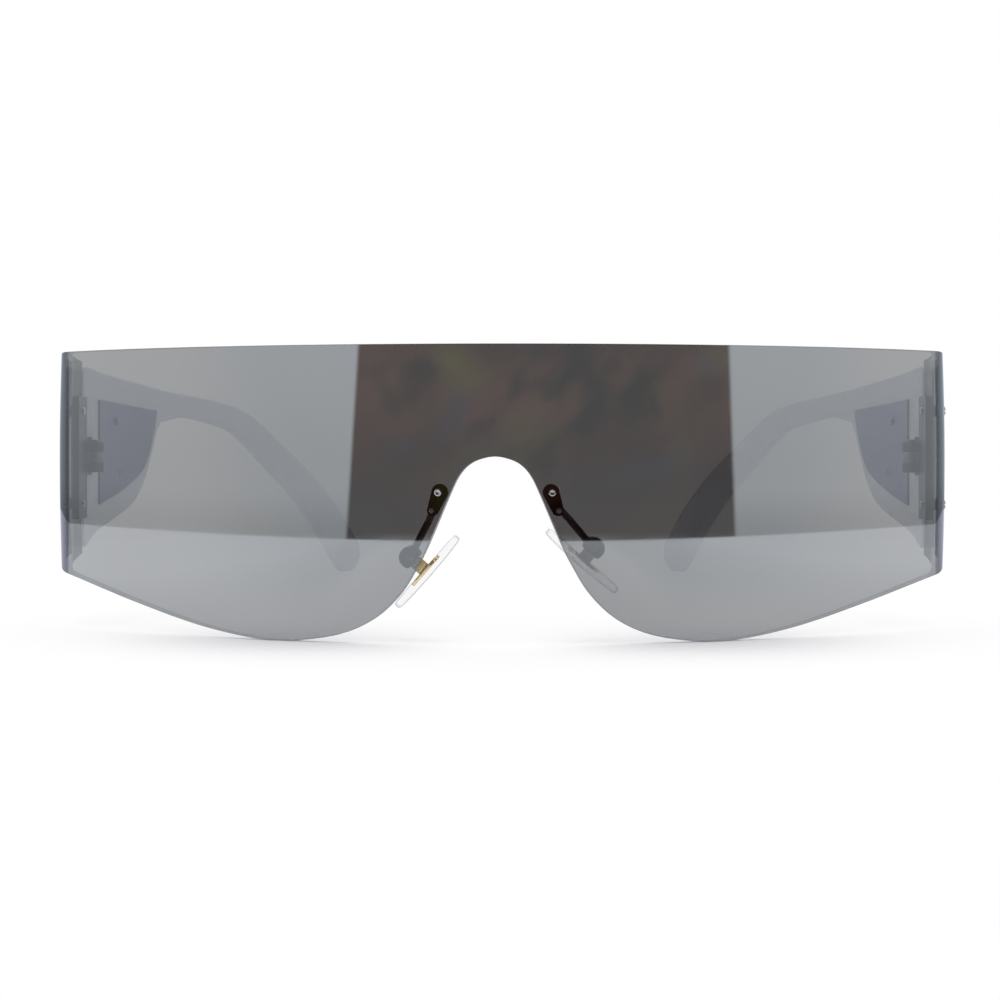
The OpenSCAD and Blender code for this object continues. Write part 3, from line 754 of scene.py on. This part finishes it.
def temple_outline(temple, node):
    """The outline of a temple's outer face as (Y, Z) points in order."""
    centre_x, centre_y = temple_centre(temple)
    mesh = bmesh.new()
    mesh.from_mesh(NODES[node].data)
    bmesh.ops.remove_doubles(mesh, verts=mesh.verts, dist=WELD)
    outer_radius = temple.curve_radius + temple.thickness
    near, least_outward = 0.05 * MM, 0.7
    outer = set()
    for face in mesh.faces:
        spots = [math.hypot(abs(v.co.x) - centre_x, v.co.y - centre_y) for v in face.verts]
        on_curve = all(abs(spot - outer_radius) < near for spot in spots)
        if on_curve and abs(face.normal.x) > least_outward:
            outer.add(face)
    rim = [e for e in mesh.edges if sum(f in outer for f in e.link_faces) == 1]
    ways = {}
    for edge in rim:
        for a, b in ((edge.verts[0], edge.verts[1]), (edge.verts[1], edge.verts[0])):
            ways.setdefault(a, []).append(b)
    loops, left = [], set(ways)
    while left:
        start = min(left, key=lambda v: (v.co.y, v.co.z))
        loop, here, last = [start], ways[start][0], start
        left.discard(start)
        while here is not start and here in left:
            loop.append(here)
            left.discard(here)
            here, last = next((n for n in ways[here] if n is not last), start), here
        loops.append([(v.co.y, v.co.z) for v in loop])
    mesh.free()
    return max(loops, key=len)


def corners_of(ring):
    """The points of a closed outline at which it turns sharply, with their turns."""
    ring = [Vector(point) for point in ring]
    turns = [(here, (here - ring[i - 1]).angle(ring[(i + 1) % len(ring)] - here))
             for i, here in enumerate(ring)]
    return [(here, turn) for here, turn in turns if turn > CORNER_TURN]


class EYEWEAR_OT_temples(bpy.types.Operator):
    """Model the two moulded temples"""

    bl_idname = "eyewear.temples"
    bl_label = "Temples"

    def execute(self, context):
        temple = settings("temple_settings")
        material = white_plastic(temple)
        for side, sign in SIDES.items():
            piece = self.mould(side, sign, temple)
            self.cut_hinge_room(piece, side, sign, temple)
            shade(piece, angle=38)
            hand_over(piece, f"{side}_temple", material)
        return {"FINISHED"}

    def flat_blank(self, side, temple):
        """The outline as one flat face with softened corners."""
        outline = temple_outline(temple, f"{side}_temple")
        corners = corners_of(outline)
        clear = 3 * temple.corner_round
        outline = [point for point in outline
                   if all(not WELD < (Vector(point) - corner).length < clear for corner, _ in corners)]
        piece = start_piece(f"{side}_temple_moulding", bpy.ops.mesh.primitive_circle_add,
                            vertices=len(outline), radius=1, fill_type="NGON")
        for vertex, (y, z) in zip(piece.data.vertices, outline):
            vertex.co = 0, y, z
        edit(piece)
        bpy.ops.mesh.remove_doubles(threshold=0.1 * MM)
        bpy.ops.mesh.dissolve_limited(angle_limit=math.radians(1.5))
        leave_edit()
        for corner, turn in corners_of(outline):
            pick(piece, "VERT")
            place = Vector((0, *corner))
            min(piece.data.vertices, key=lambda vertex: (vertex.co - place).length).select = True
            bpy.ops.object.mode_set(mode="EDIT")
            width = temple.corner_round * math.tan(turn / 2)
            bpy.ops.mesh.bevel(offset=width, segments=6, affect="VERTICES")
            leave_edit()
        return piece

    def mould(self, side, sign, temple):
        """The blank given its thickness and rounded rims, sliced, and then curved."""
        piece = self.flat_blank(side, temple)
        edit(piece)
        bpy.ops.mesh.extrude_region_move(TRANSFORM_OT_translate={"value": (temple.thickness, 0, 0)})
        leave_edit()
        pick(piece, "EDGE")
        mesh = piece.data
        for edge in mesh.edges:
            a, b = (mesh.vertices[i].co for i in edge.vertices)
            edge.select = abs(a.x - b.x) < WELD
        bpy.ops.object.mode_set(mode="EDIT")
        bpy.ops.mesh.bevel(offset=temple.edge_round, segments=4, affect="EDGES")
        low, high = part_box(f"{side}_temple")
        slices = int((high.y - low.y) / temple.slice_step)
        for k in range(1, slices):
            bpy.ops.mesh.select_all(action="SELECT")
            y = low.y + (high.y - low.y) * k / slices
            bpy.ops.mesh.bisect(plane_co=(0, y, 0), plane_no=(0, 1, 0))
        leave_edit()
        centre_x, centre_y = temple_centre(temple)
        for vertex in mesh.vertices:
            out, y, z = vertex.co
            x = centre_x + math.sqrt((temple.curve_radius + out) ** 2 - (y - centre_y) ** 2)
            vertex.co = sign * x, y, z
        edit(piece)
        bpy.ops.mesh.remove_doubles(threshold=WELD)
        bpy.ops.mesh.normals_make_consistent(inside=False)
        leave_edit()
        return piece

    def cut_hinge_room(self, piece, side, sign, temple):
        """The notch for the hinge barrel and the leaf's arm."""
        low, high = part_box(f"{side}_hinge_screw")
        start_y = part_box(f"{side}_temple")[0].y
        axis_y = (low.y + high.y) / 2
        past, depth = temple.thickness, 4 * temple.thickness
        ends = sorted(sign * (LENS_HIGH.x - inset) for inset in (temple.skin, depth))
        cut_box(piece, Vector((ends[0], start_y - past, low.z - temple.hinge_room)),
                Vector((ends[1], axis_y + temple.notch_reach, high.z + temple.hinge_room)))


# Hinges and fasteners, from welded copies of the CAD pieces


def finish_copies(plan):
    """Rounds, shades and hands over a copy of each node in the plan, on both sides."""
    for side in SIDES:
        for node, label, material, width in plan:
            piece = copy_of(f"{side}_{node}", f"{side}_{label}")
            round_edges(piece, width)
            shade(piece)
            hand_over(piece, f"{side}_{node}", material)


class EYEWEAR_OT_hinges(bpy.types.Operator):
    """Finish the endpieces, leaf plates and their screws"""

    bl_idname = "eyewear.hinges"
    bl_label = "Hinges"

    def execute(self, context):
        metal = settings("metal_settings")
        steel = metal_finish("polished_steel", metal.steel, 0.12, 0.24)
        gunmetal = metal_finish("gunmetal_satin", metal.gunmetal, 0.28, 0.42, stretch=(1, 1, 0.15))
        leaf = metal_finish("leaf_satin", metal.leaf, 0.30, 0.44, stretch=(1, 0.12, 1))
        clear = clear_bush()
        plan = (("endpiece", "wing_endpiece", gunmetal, metal.edge_round),
                ("hinge_leaf", "leaf_plate", leaf, metal.edge_round),
                ("leaf_rivets", "leaf_rivet_pair", leaf, metal.fine_round),
                ("hinge_screw", "barrel_screw", steel, metal.fine_round),
                ("wing_screws", "wing_screw_pair", steel, metal.fine_round),
                ("wing_bushes", "clear_bush_pair", clear, metal.fine_round))
        finish_copies(plan)
        return {"FINISHED"}


class EYEWEAR_OT_pad_mounts(bpy.types.Operator):
    """Finish the pad arms, their screws and pins, and the pad inserts"""

    bl_idname = "eyewear.pad_mounts"
    bl_label = "Pad mounts"

    def execute(self, context):
        metal = settings("metal_settings")
        steel = metal_finish("mount_steel", metal.steel, 0.10, 0.2)
        black = metal_finish("black_finish", metal.black, 0.28, 0.4, metallic=0.0)
        gold = metal_finish("gold_plate", metal.gold, 0.14, 0.26)
        plan = (("pad_arm", "pad_arm_wire", black, metal.edge_round),
                ("mount_screw", "mount_screw_turned", steel, metal.fine_round),
                ("mount_pin", "mount_pin_moulded", black, metal.fine_round),
                ("pad_insert", "pad_insert_plate", gold, metal.edge_round),
                ("pad_screw", "pad_screw_turned", steel, metal.fine_round))
        finish_copies(plan)
        return {"FINISHED"}


class EYEWEAR_OT_nose_pads(bpy.types.Operator):
    """Model the two clear nose pads"""

    bl_idname = "eyewear.nose_pads"
    bl_label = "Nose pads"

    def execute(self, context):
        pad = settings("pad_settings")
        clear = clear_silicone(pad)
        for side, sign in SIDES.items():
            piece = self.mould(side, pad)
            tilt = getattr(pad, f"{side}_tilt")
            holder = Vector(JOINTS[f"{side}_rock"]["pos_m"])
            turn = Matrix.Rotation(-tilt, 4, "Y")
            mirror = Matrix.Scale(sign, 4, (1, 0, 0))
            home = Vector((abs(holder.x), holder.y, holder.z))
            piece.data.transform(mirror @ Matrix.Translation(home) @ turn)
            edit(piece)
            bpy.ops.mesh.normals_make_consistent(inside=False)
            leave_edit()
            shade(piece, angle=50)
            hand_over(piece, f"{side}_nose_pad", clear)
        return {"FINISHED"}

    def mould(self, side, pad):
        """A ball flattened to a crowned oval with a rounded rim, in the pad's own frame."""
        piece = start_piece(f"{side}_nose_pad_clear", bpy.ops.mesh.primitive_uv_sphere_add,
                            segments=72, ring_count=36, radius=1)
        set_off = getattr(pad, f"{side}_set_off")
        level = 1e-6
        for vertex in piece.data.vertices:
            across, along, out = vertex.co
            spread = math.hypot(across, along)
            reach = spread ** (2 / pad.rim_power)
            turn = math.atan2(along, across)
            y, z = (reach * size / 2 * math.copysign(abs(part) ** (2 / pad.oval_power), part)
                    for size, part in ((pad.width, math.cos(turn)), (pad.length, math.sin(turn))))
            lift = math.copysign(abs(out) ** (2 / pad.rim_power), out) if abs(out) > level else 0
            crown = (y * y + z * z) / (2 * pad.crown_radius)
            vertex.co = lift * pad.thickness / 2 - set_off + crown * (1 - lift) / 2, y, z
        return piece


# The stage

# The floor: its size, its tints and reach as the lens mirrors it, with painted shade in front and a bluer
# painted shade behind the bends, and how far its shadow is thinned
FLOOR_SIZE = 8
FLOOR_TINT_FRONT = (0.965, 0.985, 1.0)
FLOOR_TINT_BEHIND = (1.0, 1.0, 1.2)
MIRRORED_REACH = 210 * MM
SHADOW_THINNING = 0.8

# The line behind which only the lens's bends and wings mirror the stage
BACK_SLOPE = 0.27
BACK_SOFTNESS = 5 * MM

# The tent, the way of the key light and the camera's shift
TENT_CENTRE = (0, 50 * MM, 300 * MM)
TENT_SIZE = (430 * MM, 410 * MM, 600 * MM)
TENT_WHITE = (0.97, 0.99, 1.0)
KEY_WAY = (0.05, -0.5, -1)
PHOTO_SHIFT = (0.005, -0.07)

# The dim room: its ground tone, and each patch's noise scale, start, full value and tone
ROOM_GROUND = (0.055, 0.020, 0.014)
ROOM_PATCHES = (
    (10, 0.40, 0.66, (0.130, 0.054, 0.040)),
    (13, 0.52, 0.70, (0.06, 0.06, 0.10)),
    (9, 0.55, 0.72, (0.15, 0.12, 0.03)),
    (16, 0.54, 0.74, (0.0, 0.0, 0.0)))
ROOM_SQUEEZE = (1, 1, 3.7)
ROOM_STRETCH = (1.7, 1, 1)
ROOM_SLANT = math.radians(-38)


def ray_switch(tree, seen, mirrored, lighting):
    """A value for camera and transmission rays, one for glossy rays and one for the rest."""
    path = add_node(tree, "LightPath").outputs
    result = lighting
    for ray, value in (("Is Glossy Ray", mirrored), ("Is Transmission Ray", seen), ("Is Camera Ray", seen)):
        mix = add_node(tree, "Mix", {"Factor": path[ray], "A": result, "B": value})
        result = mix.outputs["Result"]
    return result


class EYEWEAR_OT_stage(bpy.types.Operator):
    """Set up the floor, the light tent, the lamps and the camera"""

    bl_idname = "eyewear.stage"
    bl_label = "Stage"

    def execute(self, context):
        stage = settings("stage_settings")
        self.floor(stage)
        self.tent(stage)
        self.light(context, stage)
        self.camera(context, stage)
        context.scene.view_settings.view_transform = "Standard"
        return {"FINISHED"}

    def floor(self, stage):
        """A white floor that keeps soft shadows, with its own brightness in the mirror."""
        floor = start_piece("stage_floor", bpy.ops.mesh.primitive_plane_add,
                            size=FLOOR_SIZE, location=(0, 0, 0))
        material, tree, out = self.bare_material("pale_floor")
        place = object_place(tree)
        x, y, _ = parts_of(tree, place)
        distance = add_node(tree, "VectorMath", {0: place}, operation="LENGTH").outputs["Value"]

        paper = add_node(tree, "BsdfDiffuse", {"Color": (*stage.paper, 1)})
        glow_level = ray_switch(tree, seen=1.0, mirrored=0.0, lighting=0.5)
        glow = add_node(tree, "Emission", {"Color": (*stage.floor_glow, 1), "Strength": glow_level})
        near = add_node(tree, "AddShader", {0: paper.outputs["BSDF"], 1: glow.outputs["Emission"]})
        backdrop_level = ray_switch(tree, seen=1.0, mirrored=1.0, lighting=stage.ambient)
        backdrop = add_node(tree, "Emission", {"Strength": backdrop_level})
        far = soft_step(tree, distance, stage.shadow_reach, 1.5 * stage.shadow_reach)
        thin = self.off_feet(tree, x, y, stage)
        seen = add_node(tree, "MixShader", {"Fac": sum_up(tree, "MAXIMUM", far, thin),
                                            1: near.outputs["Shader"], 2: backdrop.outputs["Emission"]})

        # The mirrored floor, a painted reflection: painted shade in front of the glasses, a bluer painted
        # shade behind the bends, painted light aside
        behind = self.behind_glasses(tree, x, y)
        off_centre = sum_up(tree, "ABSOLUTE", difference(tree, x, stage.mirrored_centre))
        aside = soft_step(tree, off_centre, 0, MIRRORED_REACH, stage.mirrored_front,
                          stage.mirrored_side, "LINEAR")
        dimmed = difference(tree, 1.0, product(tree, behind, 1 - stage.mirrored_behind))
        mirrored = add_node(tree, "Emission", {
            "Color": mix_tones(tree, behind, FLOOR_TINT_FRONT, FLOOR_TINT_BEHIND),
            "Strength": product(tree, aside, dimmed)})
        surface = add_node(tree, "MixShader", {
            "Fac": add_node(tree, "LightPath").outputs["Is Glossy Ray"],
            1: seen.outputs["Shader"], 2: mirrored.outputs["Emission"]})
        feed(tree, out.inputs["Surface"], surface.outputs["Shader"])
        floor.data.materials.append(material)

    def off_feet(self, tree, x, y, stage):
        """A mask that thins the floor's shadow away from the two points where the lens stands."""
        foot_x, foot_y = plan_point(settings("lens_settings"), stage.foot_place)
        side = difference(tree, sum_up(tree, "ABSOLUTE", x), foot_x)
        ahead = difference(tree, y, foot_y)
        squares = [product(tree, part, part) for part in (side, ahead)]
        distance = sum_up(tree, "SQRT", sum_up(tree, "ADD", *squares))
        return soft_step(tree, distance, 0, stage.foot_shadow, 0.0, SHADOW_THINNING)

    def bare_material(self, name):
        """A material with only its output."""
        material = bpy.data.materials.new(name)
        material.use_nodes = True
        tree = material.node_tree
        tree.nodes.clear()
        return material, tree, tree.nodes.new("ShaderNodeOutputMaterial")

    def behind_glasses(self, tree, x, y):
        """A mask of what only the lens's bends and wings reflect."""
        lens = settings("lens_settings")
        bend_x, bend_y = plan_point(lens, lens.front_radius * bend_angle(lens))
        out = difference(tree, sum_up(tree, "ABSOLUTE", x), bend_x)
        line = product(tree, out, BACK_SLOPE)
        past = difference(tree, difference(tree, y, bend_y), line)
        return soft_step(tree, past, 0, BACK_SOFTNESS)

    def tent(self, stage):
        """An oval wall that only reflections see: bright sides, a dark opening in front, painted grey shade
        behind.
        """
        wall = start_piece("stage_tent", bpy.ops.mesh.primitive_cylinder_add, vertices=128, radius=1,
                           depth=1, end_fill_type="NOTHING", location=TENT_CENTRE, scale=TENT_SIZE)
        apply_place(wall)
        for ray in ("camera", "diffuse", "transmission", "shadow"):
            setattr(wall, f"visible_{ray}", False)
        wall.data.materials.append(self.tent_cloth(stage))

    def tent_cloth(self, stage):
        material, tree, out = self.bare_material("tent_cloth")
        place = object_place(tree)
        x, y, z = parts_of(tree, place)
        left, right = stage.opening_left, stage.opening_right
        centre, half = (left + right) / 2, (right - left) / 2
        edge_softness, front_softness = 3 * MM, 10 * MM

        # Each as a start and an end, in places or heights, and the level at both; the levels paint light and
        # shade on the glowing cloth: the room darker towards the bottom, painted shade along the tent's foot,
        # painted light higher up and across the opening's width
        back_span = (400 * MM, 420 * MM, 1.0, 0.0)
        room_rise = (12 * MM, 42 * MM, 0.4, 1.15)
        foot_shade_span = (0, 16 * MM, 0.72, 1.0)
        upper_light_span = (15 * MM, 60 * MM, 1.0, 1.13)
        side_fall = (half, half + 200 * MM, 1.2, 0.95)

        left_line = difference(tree, x, product(tree, z, stage.lean_left))
        right_line = sum_up(tree, "ADD", x, product(tree, z, stage.lean_right))
        past_left = soft_step(tree, left_line, left - edge_softness, left + edge_softness)
        before_right = soft_step(tree, right_line, right - edge_softness, right + edge_softness, 1.0, 0.0)
        in_front = soft_step(tree, y, -front_softness, front_softness, 1.0, 0.0)
        opening = product(tree, product(tree, past_left, before_right), in_front)
        behind = product(tree, self.behind_glasses(tree, x, y), soft_step(tree, y, *back_span))

        room = add_node(tree, "VectorMath", {0: self.dim_room(tree, place),
                                             "Scale": soft_step(tree, z, *room_rise)}, operation="SCALE")
        # White cloth, with painted shade behind the glasses, where only the bends and wings look
        cloth = mix_tones(tree, behind, TENT_WHITE, tuple(stage.tent_back_shade))
        beside = sum_up(tree, "ABSOLUTE", difference(tree, x, centre))
        # The glow's strength: painted shade along the tent's foot, painted light higher up and across the
        # opening's width
        strength = product(tree, soft_step(tree, z, *foot_shade_span), soft_step(tree, z, *upper_light_span))
        strength = product(tree, strength, soft_step(tree, beside, *side_fall))
        glow = add_node(tree, "Emission", {
            "Color": mix_tones(tree, opening, cloth, room.outputs["Vector"]), "Strength": strength})
        feed(tree, out.inputs["Surface"], glow.outputs["Emission"])
        return material

    def dim_room(self, tree, place):
        """What shows through the opening: a dim room in soft patches of brown, slate, olive and black."""
        upright = add_node(tree, "VectorMath", {0: place, 1: ROOM_SQUEEZE}, operation="MULTIPLY")
        turned = {"Vector": upright.outputs["Vector"], "Rotation": (0, ROOM_SLANT, 0), "Scale": ROOM_STRETCH}
        slant = add_node(tree, "Mapping", turned, vector_type="TEXTURE")
        result = ROOM_GROUND
        for scale, start, full, tone in ROOM_PATCHES:
            noise = add_node(tree, "TexNoise", {
                "Vector": slant.outputs["Vector"], "Scale": scale, "Detail": 2.5})
            result = mix_tones(tree, soft_step(tree, noise.outputs["Fac"], start, full), result, tone)
        return result

    def light(self, context, stage):
        world = context.scene.world or bpy.data.worlds.new("soft_room")
        context.scene.world = world
        world.use_nodes = True
        tree = world.node_tree
        sky = tree.nodes["Background"]
        sky.inputs["Color"].default_value = (1, 1, 1, 1)
        level = ray_switch(tree, seen=1.0, mirrored=0.95, lighting=stage.ambient)
        feed(tree, sky.inputs["Strength"], level)
        toward = Vector(KEY_WAY)
        bpy.ops.object.light_add(type="SUN", rotation=toward.to_track_quat("-Z", "Y").to_euler())
        sun = bpy.context.object
        sun.name = "soft_key"
        sun.data.angle = stage.key_spread
        sun.data.energy = stage.key_light * math.pi * toward.length / abs(toward.z)

    def camera(self, context, stage):
        spot = Vector((stage.camera_distance * math.sin(stage.camera_turn),
                       LENS_LOW.y - stage.camera_distance * math.cos(stage.camera_turn), stage.camera_height))
        bpy.ops.object.camera_add(location=spot, rotation=(math.pi / 2, 0, stage.camera_turn))
        camera = bpy.context.object
        camera.name = "photo_camera"
        camera.data.lens = stage.focal_length
        camera.data.sensor_width = 36
        camera.data.shift_x, camera.data.shift_y = PHOTO_SHIFT
        camera.data.clip_start = 10 * MM
        camera.data.clip_end = 20
        context.scene.camera = camera


class EYEWEAR_PT_panel(bpy.types.Panel):
    """The pieces of the sunglasses"""

    bl_label = "Shield Sunglasses"
    bl_idname = "EYEWEAR_PT_panel"
    bl_space_type = "VIEW_3D"
    bl_region_type = "UI"
    bl_category = "Eyewear"

    def draw(self, context):
        for operator in OPERATORS:
            self.layout.operator(operator.bl_idname)


OPERATORS = (EYEWEAR_OT_lens, EYEWEAR_OT_temples, EYEWEAR_OT_hinges, EYEWEAR_OT_pad_mounts,
             EYEWEAR_OT_nose_pads, EYEWEAR_OT_stage)
POINTERS = {"lens_settings": LensSettings, "temple_settings": TempleSettings,
            "metal_settings": MetalSettings, "pad_settings": PadSettings, "stage_settings": StageSettings}


def register():
    for item in (*POINTERS.values(), *OPERATORS, EYEWEAR_PT_panel):
        bpy.utils.register_class(item)
    for name, group in POINTERS.items():
        setattr(bpy.types.Scene, name, bpy.props.PointerProperty(type=group))


def unregister():
    for name in POINTERS:
        delattr(bpy.types.Scene, name)
    for item in (EYEWEAR_PT_panel, *reversed(OPERATORS), *reversed(POINTERS.values())):
        bpy.utils.unregister_class(item)


def main():
    register()
    for operator in OPERATORS:
        group, name = operator.bl_idname.split(".")
        getattr(getattr(bpy.ops, group), name)()
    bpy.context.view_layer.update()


if __name__ == "__main__":
    main()
